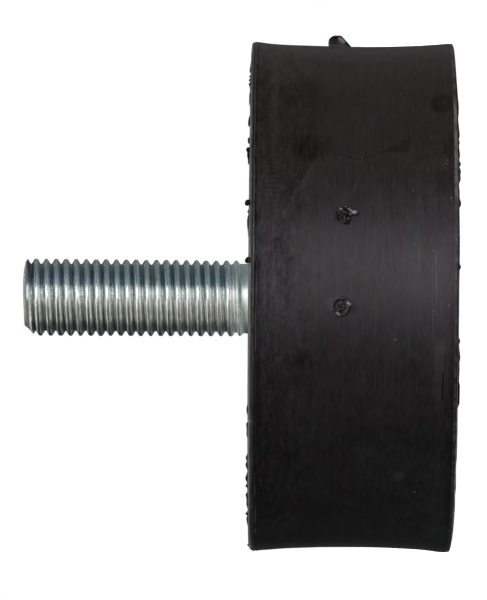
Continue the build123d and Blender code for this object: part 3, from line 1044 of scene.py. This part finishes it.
    # painted highlight lines on the rim land: paler colour along z 39.0 and z 39.62
    lip = mul(m.ramp(m.math("ABSOLUTE", sub(add(Z, c(fray0, 0.16)), 39.0)), 0.06, 0.20, 1.0, 0.0), m.ramp(add(patchy, c(fray, 0.5)), 0.38, 0.62))
    lip_here = add(mul(m.ramp(hoop, 5.6, 6.6), m.ramp(hoop, 13.2, 14.4, 1.0, 0.0)),
                   mul(m.ramp(hoop, 19.8, 20.6), m.ramp(hoop, 23.2, 24.2, 1.0, 0.0)))
    lip = mul(lip, m.math("MAXIMUM", lip_here, m.ramp(fray0, 0.52, 0.66, 0.0, 0.4)))
    crest = mul(m.ramp(m.math("ABSOLUTE", sub(Z, 39.62)), 0.05, 0.20, 1.0, 0.0), m.ramp(fray, 0.35, 0.62))
    # painted highlight along the base-end edge, where the rounded edge catches the light
    frayed = add(Z, c(fray0, 0.22))
    foot = mul(mul(m.ramp(frayed, 0.88, 0.74), m.ramp(frayed, 0.10, 0.24)), out_side)
    foot = mul(foot, m.ramp(add(patchy, c(fray, 0.5)), 0.30, 0.62, 0.25, 1.0))
    foot_here = mul(m.ramp(hoop, 17.0, 21.0), m.ramp(hoop, 40.0, 46.0, 1.0, 0.0))
    foot = mul(foot, m.math("MAXIMUM", foot_here, m.ramp(fray0, 0.42, 0.62, 0.10, 0.42)))
    # painted glints on the torn stubs: pale spots where they face the light
    glint_at = dots([((17.00, 0.0, 22.60), .20), ((16.95, 0.0, 22.30), .16), ((17.45, 0.0, 21.60), .14),
                    ((17.00, 0.0, 21.00), .22), ((16.60, 0.0, 20.60), .34), ((15.85, 0.0, 20.70), .20),
                    ((15.05, 0.0, 21.10), .14), ((16.35, 0.0, 20.15), .40), ((16.20, 0.0, 19.75), .44),
                    ((-1.05, 0.0, 21.00), .34),
                    ((-1.35, 0.0, 20.55), .36), ((-2.95, 0.0, 23.05), .30), ((-3.25, 0.0, 22.75), .24)],
                   m.vmath("ADD", flat, m.vmath("MULTIPLY", push, (0.7, 0.0, 0.7))))
    glint_at = mul(m.ramp(glint_at, 0.35, 1.30, 1.0, 0.0), m.ramp(rad, 49.93, 50.02))
    glint_at = mul(glint_at, m.ramp(pits, 0.30, 0.55, 0.45, 1.0))
    top_glint = dots([((76.9, 51.58, 22.55), .34), ((76.9, 51.25, 22.15), .40), ((76.95, 50.92, 21.8), .36)],
                     m.vmath("ADD", cyl, m.vmath("MULTIPLY", push, (0.5, 0.5, 0.5))))
    top_glint = mul(m.ramp(top_glint, 0.4, 1.7, 1.0, 0.0), m.ramp(pits, 0.30, 0.55, 0.5, 1.0))

    base = m.mix(m.ramp(cloud, 0.3, 0.7), RUBBER_DARK, RUBBER_LIGHT)
    base = m.mix(mul(m.ramp(mottle, 0.5, 0.8), mul(left, 0.35)), base, (0.030, 0.0265, 0.030))
    base = m.mix(bloom, base, (0.030, 0.033, 0.034))
    # painted light colour: browner towards +X (up in the picture) and greyer towards -X, standing in for warm light
    # from above and cool light from below, with random hue patches; dull places are darker too
    light_and_hue_tint = m.mix(m.ramp(hoop, -34.0, -12.0), (0.95, 1.0, 1.03), (1.08, 0.95, 1.04))
    light_and_hue_tint = m.mix(m.ramp(hoop, -38.0, -52.0), light_and_hue_tint, (0.90, 1.01, 1.0))
    light_and_hue_tint = m.mix(m.ramp(hoop, 10.0, 34.0), light_and_hue_tint, (1.13, 0.97, 0.93))
    light_and_hue_tint = m.mix(m.ramp(hoop, 44.0, 60.0), light_and_hue_tint, (1.17, 0.945, 0.895))
    light_and_hue_tint = m.mix(front, (1.04, 0.98, 0.99), light_and_hue_tint)
    hue = m.noise(cyl, 0.16, 2.0, 0.5)
    light_and_hue_tint = m.mix(m.ramp(hue, 0.52, 0.66, 0.0, 0.55), light_and_hue_tint, (0.93, 1.03, 0.97))
    light_and_hue_tint = m.mix(m.ramp(hue, 0.48, 0.34, 0.0, 0.55), light_and_hue_tint, (1.09, 0.93, 1.06))

    def multiplied(a, b):
        k = m.add("ShaderNodeMix", data_type="RGBA", blend_type="MULTIPLY")
        k.inputs[0].default_value = 1.0
        m.link(a, k.inputs[6])
        m.link(b, k.inputs[7])
        return k.outputs[2]

    shade = m.ramp(sheen, 0.25, 1.9, 0.25, 1.9, smooth=False)
    base = multiplied(multiplied(base, light_and_hue_tint), m.vec(shade, shade, shade))
    # painted highlights: the paler rim land and its light lines
    base = m.mix(mul(pale, 0.85), base, (0.042, 0.045, 0.041))
    base = m.mix(mul(crest, mul(pale, 0.8)), base, (0.105, 0.110, 0.104))
    base = m.mix(mul(lip, 0.75), base, (0.16, 0.14, 0.118))
    # painted highlight on the base-end edge
    base = m.mix(mul(foot, 0.9), base, (0.24, 0.23, 0.225))
    # painted glints on the stubs
    base = m.mix(mul(top_glint, 0.8), base, (0.40, 0.40, 0.39))
    base = m.mix(mul(glint_at, 0.8), base, (0.44, 0.43, 0.44))
    base = m.mix(mul(speck, 0.42), base, (0.25, 0.245, 0.24))
    m.link(base, m.bsdf.inputs["Base Color"])
    # the specular tint carries the same painted light colour, neutral over the painted edge highlights
    spec_light_tint = m.mix(m.math("MAXIMUM", pale, foot), light_and_hue_tint, (0.97, 1.02, 0.98))
    m.link(spec_light_tint, m.bsdf.inputs["Specular Tint"])

    rough = m.ramp(cloud2, 0.25, 0.75, 0.36, 0.46)
    rough = add(rough, m.ramp(near, 0.3, 0.7, -0.04, 0.04))
    rough = m.math("ADD", rough, mul(speck, 0.3), clamp=True)
    m.link(rough, m.bsdf.inputs["Roughness"])
    m.bsdf.inputs["IOR"].default_value = 1.5
    level = mul(m.math("MAXIMUM", sheen, 0.15), 0.5)
    m.link(level, m.bsdf.inputs["Specular IOR Level"])

    # heights in mm
    h = add(mul(far, 0.0022), mul(near, 0.0014))
    n1 = m.bump(h, 1.0, 1.0)
    h2 = add(mul(grain, 0.0006), mul(speck, 0.006))
    h2 = add(h2, mul(mul(pits, left2), 0.0035))
    h2 = add(h2, mul(thin, 0.010))
    n2 = m.bump(h2, 1.0, 1.0, n1)
    h3 = add(mul(cloud2, 0.012), mul(mul(mottle, left), 0.020))
    n3 = m.bump(h3, 1.0, 1.0, n2)
    m.link(n3, m.bsdf.inputs["Normal"])
    return m.mat


def zinc_material():
    m = Net("zinc_plated_steel")
    x, y, z = m.xyz(m.obj)
    mm = lambda v: m.math("MULTIPLY", v, 1000.0)
    add = lambda a, b: m.math("ADD", a, b)
    sub = lambda a, b: m.math("SUBTRACT", a, b)
    mul = lambda a, b: m.math("MULTIPLY", a, b)
    X, Y, Z = mm(x), mm(y), mm(z)
    ang = m.math("ARCTAN2", add(X, 0.42), mul(Y, -1.0))
    over = m.math("MAXIMUM", sub(m.math("ABSOLUTE", ang), 2.0), 0.0)
    hoop = mul(sub(ang, mul(mul(m.math("SIGN", ang), over), math.pi / (math.pi - 2.0))), 7.5)
    # distance from the crest line of the stud's thread in mm, positive towards the tip
    turns = sub(mul(sub(Z, THREAD_START), 1.0 / PITCH), mul(ang, 1.0 / TAU))
    wave = mul(sub(m.noise(m.vec(mul(hoop, 0.6), 0.0, Z), 1.5, 3.0, 0.6), 0.5), 0.20)
    side = add(mul(sub(m.math("FRACT", turns), 0.5), PITCH), wave)
    # the painted dark root lines sit a little to the base side of each turn
    rside = add(mul(sub(m.math("FRACT", add(turns, 0.045)), 0.5), PITCH), wave)
    rdist = m.math("ABSOLUTE", rside)
    threaded = mul(m.ramp(Z, 42.6, 45.0), m.ramp(Z, 84.9, 84.3))
    above = m.ramp(ang, 0.24, 0.46)
    below = m.ramp(ang, 0.06, -0.16)
    mid = m.math("SUBTRACT", sub(1.0, above), below, clamp=True)
    deep = m.ramp(ang, -0.58, -0.95)
    root = mul(m.math("MAXIMUM", m.ramp(side, -0.70, -0.90), m.ramp(side, 0.42, 0.72)), threaded)
    core = mul(m.math("MAXIMUM", m.ramp(side, -0.66, -0.90), m.ramp(side, 0.58, 0.76)), threaded)
    tip_flank = mul(mul(m.ramp(side, 0.06, 0.24), m.ramp(side, 0.74, 0.58)), threaded)
    land = mul(mul(m.ramp(side, 0.14, -0.04), m.ramp(side, -0.70, -0.48)), threaded)
    line = mul(m.ramp(rdist, 0.85, 0.96), threaded)

    blot = m.noise(m.vec(X, Y, Z), 0.55, 4.0, 0.65, 0.5)
    drag = m.vec(mul(hoop, 0.28), 0.0, Z)
    fine = m.noise(drag, 5.0, 4.0, 0.7)
    strand = m.noise(m.vec(mul(hoop, 0.22), 0.0, Z), 3.1, 3.0, 0.6)
    spots = m.noise(m.vec(X, Y, Z), 2.6, 4.0, 0.7, 0.3)

    base = m.mix(m.ramp(blot, 0.3, 0.7), (0.72, 0.77, 0.76), (0.84, 0.87, 0.86))
    # painted reflection colours: lighter and warmer low in the picture, blue-green high in the picture
    base = m.mix(mul(below, 0.75), base, (0.95, 0.97, 0.94))
    cool = mul(above, m.ramp(blot, 0.25, 0.75, 0.5, 1.0))
    base = m.mix(mul(cool, 0.7), base, (0.60, 0.76, 0.80))
    base = m.mix(mul(mul(land, above), 0.9), base, (0.82, 0.95, 0.98))
    # a painted highlight band on the crests across the middle of the picture
    wide = mul(mul(m.ramp(side, 0.32, 0.12), m.ramp(side, -0.74, -0.52)), threaded)
    base = m.mix(mul(mul(wide, mid), 0.9), base, (0.99, 0.99, 0.98))
    # painted shade and dark reflections: the roots go dark blue up in the picture and thin and olive below, and the
    # flanks turn darker
    base = m.mix(mul(mul(root, above), 0.85), base, (0.15, 0.28, 0.37))
    base = m.mix(mul(mul(tip_flank, above), 0.50), base, (0.34, 0.43, 0.45))
    base = m.mix(mul(mul(tip_flank, mid), 0.6), base, (0.40, 0.45, 0.46))
    # more painted shade lines beside the lower crests and in the middle roots
    near_crest = mul(m.ramp(m.math("ABSOLUTE", sub(m.math("ABSOLUTE", side), 0.30)), 0.06, 0.22, 1.0, 0.0), mul(m.ramp(ang, -0.12, -0.34), threaded))
    base = m.mix(mul(near_crest, 0.60), base, (0.56, 0.57, 0.54))
    ridge = mul(m.ramp(m.math("ABSOLUTE", add(side, 0.08)), 0.04, 0.22, 1.0, 0.0), mul(below, threaded))
    base = m.mix(mul(ridge, 0.55), base, (0.45, 0.46, 0.44))
    base = m.mix(mul(mul(core, mid), m.ramp(spots, 0.38, 0.62, 0.90, 0.50)), base, (0.26, 0.33, 0.345))
    base = m.mix(mul(mul(line, below), 0.85), base, (0.12, 0.15, 0.12))
    # brown drawn-out stains on the crests low on the thread
    streak = mul(m.ramp(m.math("ABSOLUTE", add(side, 0.40)), 0.12, 0.34, 1.0, 0.0), m.ramp(strand, 0.42, 0.58, 0.35, 1.0))
    stain = mul(m.ramp(strand, 0.50, 0.66), m.ramp(spots, 0.36, 0.55))
    stain = add(mul(stain, add(mul(below, 0.20), 0.08)), mul(mul(streak, mul(below, threaded)), 0.38))
    base = m.mix(stain, base, (0.30, 0.255, 0.20))
    base = m.mix(mul(mul(m.ramp(spots, 0.60, 0.76), sub(1.0, mul(mid, 0.6))), 0.5), base, (0.33, 0.31, 0.27))
    # painted dark teal reflection low on the stud, towards -X
    base = m.mix(mul(deep, m.ramp(Z, 42.4, 44.4, 0.12, 0.60)), base, (0.17, 0.29, 0.29))
    # streaked run-out and neck; its upper side gets a painted blue-green reflection colour
    runout = mul(m.ramp(Z, 44.2, 42.6), m.ramp(Z, 39.0, 39.6))
    base = m.mix(mul(runout, 0.92), base, (0.95, 0.99, 0.965))
    base = m.mix(mul(runout, mul(m.ramp(strand, 0.46, 0.62), 0.48)), base, (0.46, 0.53, 0.50))
    base = m.mix(mul(mul(runout, above), 0.45), base, (0.70, 0.92, 0.93))
    # the sawn end and its chamfer
    tip = m.ramp(Z, 83.7, 84.1)
    base = m.mix(mul(tip, m.ramp(spots, 0.3, 0.7, 0.72, 0.97)), base, (0.085, 0.076, 0.064))
    glint = mul(mul(m.ramp(Z, 83.9, 84.1), m.ramp(Z, 84.55, 84.35)), mid)
    base = m.mix(mul(glint, 0.9), base, (0.9, 0.9, 0.88))
    m.link(base, m.bsdf.inputs["Base Color"])
    m.bsdf.inputs["Metallic"].default_value = 1.0
    rough = add(m.ramp(blot, 0.3, 0.7, 0.19, 0.28), m.ramp(fine, 0.3, 0.7, -0.04, 0.06))
    rough = add(rough, mul(mul(below, threaded), 0.08))
    rough = add(rough, mul(mul(above, land), 0.10))
    rough = add(rough, mul(ridge, 0.08))
    rough = add(rough, mul(mul(stain, sub(1.0, m.ramp(Z, 44.2, 42.6))), 0.10))
    rough = add(rough, mul(runout, 0.12))
    rough = m.math("ADD", rough, mul(tip, 0.20), clamp=True)
    m.link(rough, m.bsdf.inputs["Roughness"])
    h = add(mul(fine, 0.014), mul(m.noise(m.vec(hoop, 0.0, Z), 2.2, 3.0), 0.022))
    h = add(h, mul(spots, 0.010))
    m.link(m.bump(h, 1.0, 1.0), m.bsdf.inputs["Normal"])
    return m.mat


def plate_material():
    m = Net("plate_steel")
    x, y, z = m.xyz(m.obj)
    mm = lambda v: m.math("MULTIPLY", v, 1000.0)
    X, Y, Z = mm(x), mm(y), mm(z)
    rad = m.math("SQRT", m.math("ADD", m.math("MULTIPLY", X, X), m.math("MULTIPLY", Y, Y)))
    ang = m.math("ARCTAN2", X, Y)
    p = m.vec(X, Y, Z)
    rings = m.noise(m.vec(rad, m.math("ABSOLUTE", ang), 0.0), 3.0, 4.0, 0.7)
    blot = m.noise(p, 0.07, 5.0, 0.62, 0.6)
    spots = m.noise(p, 0.45, 4.0, 0.65, 0.3)
    base = m.mix(m.ramp(blot, 0.3, 0.7), (0.44, 0.445, 0.44), (0.50, 0.50, 0.49))
    base = m.mix(m.ramp(spots, 0.60, 0.76, 0.0, 0.25), base, (0.26, 0.23, 0.20))
    m.link(base, m.bsdf.inputs["Base Color"])
    m.bsdf.inputs["Metallic"].default_value = 1.0
    rough = m.math("ADD", m.ramp(blot, 0.3, 0.7, 0.38, 0.43), m.ramp(rings, 0.3, 0.7, -0.06, 0.06))
    m.link(rough, m.bsdf.inputs["Roughness"])
    h = m.math("ADD", m.math("MULTIPLY", rings, 0.006), m.math("MULTIPLY", spots, 0.012))
    m.link(m.bump(h, 1.0, 1.0), m.bsdf.inputs["Normal"])
    return m.mat


RUBBER = rubber_material()
ZINC = zinc_material()
PLATE = plate_material()

rubber.data.materials.clear()
rubber.data.materials.append(RUBBER)
stud.data.materials.clear()
stud.data.materials.append(ZINC)
insert.data.materials.clear()
insert.data.materials.append(ZINC)
for node in ("stud_plate", "base_plate"):
    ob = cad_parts[node]
    if not ob.material_slots:
        ob.data.materials.append(PLATE)
    for s in ob.material_slots:
        s.material = PLATE

for piece, node, slot in ((rubber, "rubber_body", "rubber"), (stud, "threaded_stud", "zinc_plated_steel"),
                          (insert, "tapped_insert", "zinc_plated_steel")):
    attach(piece, "root")
    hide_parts(node)


# ------------------------------------------------------------------ floor, world and lights

def make_floor():
    me = bpy.data.meshes.new("floor")
    s, z = 12.0, -0.00046
    me.from_pydata([(-s, -s, z), (s, -s, z), (s, s, z), (-s, s, z)], [], [(0, 1, 2, 3)])
    ob = bpy.data.objects.new("floor", me)
    coll.objects.link(ob)
    mat = bpy.data.materials.new("floor")
    mat.use_nodes = True
    t = mat.node_tree
    t.nodes.clear()
    out = t.nodes.new("ShaderNodeOutputMaterial")
    dif = t.nodes.new("ShaderNodeBsdfDiffuse")
    dif.inputs["Color"].default_value = (0.80, 0.80, 0.80, 1)
    emi = t.nodes.new("ShaderNodeEmission")
    emi.inputs["Color"].default_value = (1, 1, 1, 1)
    emi.inputs["Strength"].default_value = 1.0
    add = t.nodes.new("ShaderNodeAddShader")
    t.links.new(dif.outputs[0], add.inputs[0])
    t.links.new(emi.outputs[0], add.inputs[1])
    # one-sided, so that a camera under it still sees the part
    geo = t.nodes.new("ShaderNodeNewGeometry")
    clear = t.nodes.new("ShaderNodeBsdfTransparent")
    mix = t.nodes.new("ShaderNodeMixShader")
    t.links.new(geo.outputs["Backfacing"], mix.inputs[0])
    t.links.new(add.outputs[0], mix.inputs[1])
    t.links.new(clear.outputs[0], mix.inputs[2])
    t.links.new(mix.outputs[0], out.inputs["Surface"])
    me.materials.append(mat)
    # the floor only catches shadows: it throws no light or reflection onto the part
    ob.visible_glossy = False
    ob.visible_diffuse = False
    ob.visible_shadow = False
    return ob


make_floor()

LIGHTS = {}


def direction(phi, psi):
    """phi: up in the picture from the camera's side; psi: towards the stud end (+Z)."""
    a, b = math.radians(phi), math.radians(psi)
    return Vector((math.cos(b) * math.sin(a), -math.cos(b) * math.cos(a), math.sin(b)))


def softbox(name, phi, psi, dist, tall, wide, radiance, colour=(1, 1, 1)):
    """A rectangular soft light that faces the part. tall: size in the phi direction, wide: towards +Z, in metres.
    radiance: brightness of its face."""
    d = direction(phi, psi)
    data = bpy.data.lights.new(name, "AREA")
    data.shape = "RECTANGLE"
    data.size, data.size_y = wide, tall
    data.energy = radiance * math.pi * wide * tall
    data.color = colour
    ob = bpy.data.objects.new(name, data)
    coll.objects.link(ob)
    target = Vector((0, 0, 0.03))
    ob.location = target + d * dist
    back = d
    # local x runs towards +Z as far as it can
    xaxis = (Vector((0, 0, 1)) - back * back.z)
    if xaxis.length < 1e-3:
        xaxis = Vector((1, 0, 0))
    xaxis.normalize()
    yaxis = back.cross(xaxis).normalized()
    m = Matrix((xaxis, yaxis, back)).transposed().to_4x4()
    m.translation = ob.location
    ob.matrix_world = m
    ob.visible_camera = False
    LIGHTS[name] = ob
    return ob


# A wide bank of soft boxes on the stud side and in front, darker towards the base side and below.
BANK = (
    ("Lm80", -80, 40, 0.537, 0.946, 1.0, (1.03, 1.0, 0.97)),
    ("Lm52", -52.5, 40, 0.444, 0.946, 0.75, (1.03, 1.0, 0.97)),
    ("Lm30", -30, 40, 0.353, 0.946, 1.25, (1.03, 1.0, 0.97)),
    ("Cm12", -12.5, 0, 0.342, 0.946, 0.29, (1.0, 1.0, 1.0)),
    ("Lm12", -12.5, 40, 0.263, 0.946, 1.5, (1.0, 1.0, 1.0)),
    ("C1", 1.5, 0, 0.296, 0.946, 1.13, (1.0, 1.0, 1.0)),
    ("L1", 1.5, 40, 0.228, 0.946, 1.22, (1.0, 1.0, 1.0)),
    ("C14", 14.5, 0, 0.296, 0.946, 1.95, (1.0, 1.0, 1.0)),
    ("L14", 14.5, 40, 0.228, 0.946, 1.52, (1.0, 1.0, 1.0)),
    ("C27", 27.5, 0, 0.296, 0.946, 1.33, (1.0, 1.0, 1.0)),
    ("L27", 27.5, 40, 0.228, 0.946, 1.43, (1.0, 1.0, 1.0)),
    ("L42", 42, 40, 0.281, 0.946, 0.75, (0.94, 1.0, 1.03)),
    ("R42", 42, -40, 0.281, 0.946, 1.2, (1.0, 1.0, 1.0)),
    ("L62", 62.5, 40, 0.444, 0.946, 0.46, (0.94, 1.0, 1.03)),
    ("C62", 62.5, 0, 0.576, 0.946, 0.12, (1.0, 1.0, 1.0)),
    ("R62", 62.5, -40, 0.444, 0.946, 0.55, (1.0, 1.0, 1.0)),
    ("C90", 90, 0, 0.697, 0.946, 0.14, (0.94, 1.0, 1.03)),
    ("L90", 90, 40, 0.537, 0.946, 0.27, (0.94, 1.0, 1.03)),
    ("R90", 90, -40, 0.537, 0.946, 0.1, (1.0, 1.0, 1.0)),
    ("top", 0, 85, 0.946, 0.946, 0.85, (0.94, 1.0, 1.03)),
    ("U180", 180, 55, 1.212, 0.946, 1.8, (0.94, 1.0, 1.03)),
    ("Dm150", -150, -50, 1.0, 0.9, 1.5, (0.98, 1.0, 1.0)),
    ("U130", 130, 45, 1.212, 1.077, 0.16, (0.94, 1.0, 1.03)),
    ("Um130", -130, 45, 1.212, 1.077, 0.40, (1.03, 1.0, 0.97)),
    ("B180", 180, 5, 1.212, 1.212, 0.1, (1.0, 1.0, 1.0)),
    ("B130", 130, 0, 1.212, 1.212, 0.19, (1.0, 1.0, 1.0)),
    ("Bm130", -130, 0, 1.212, 1.212, 0.015, (1.0, 1.0, 1.0)),
)
for name, phi, psi, tall, wide, radiance, colour in BANK:
    softbox(name, phi, psi, 1.3, tall, wide, radiance, colour)


def make_world():
    w = bpy.data.worlds.new("world")
    scene.world = w
    w.use_nodes = True
    t = w.node_tree
    t.nodes.clear()
    out = t.nodes.new("ShaderNodeOutputWorld")
    seen = t.nodes.new("ShaderNodeBackground")
    seen.inputs["Color"].default_value = (1, 1, 1, 1)
    seen.inputs["Strength"].default_value = 1.02
    lit = t.nodes.new("ShaderNodeBackground")
    lit.inputs["Color"].default_value = (0.96, 0.98, 1.0, 1)
    lit.inputs["Strength"].default_value = 0.01
    lp = t.nodes.new("ShaderNodeLightPath")
    mix = t.nodes.new("ShaderNodeMixShader")
    t.links.new(lp.outputs["Is Camera Ray"], mix.inputs[0])
    t.links.new(lit.outputs[0], mix.inputs[1])
    t.links.new(seen.outputs[0], mix.inputs[2])
    t.links.new(mix.outputs[0], out.inputs["Surface"])


make_world()
scene.view_settings.view_transform = "Standard"
scene.view_settings.look = "None"
scene.view_settings.exposure = 0.0
scene.view_settings.gamma = 1.0

bpy.context.view_layer.update()
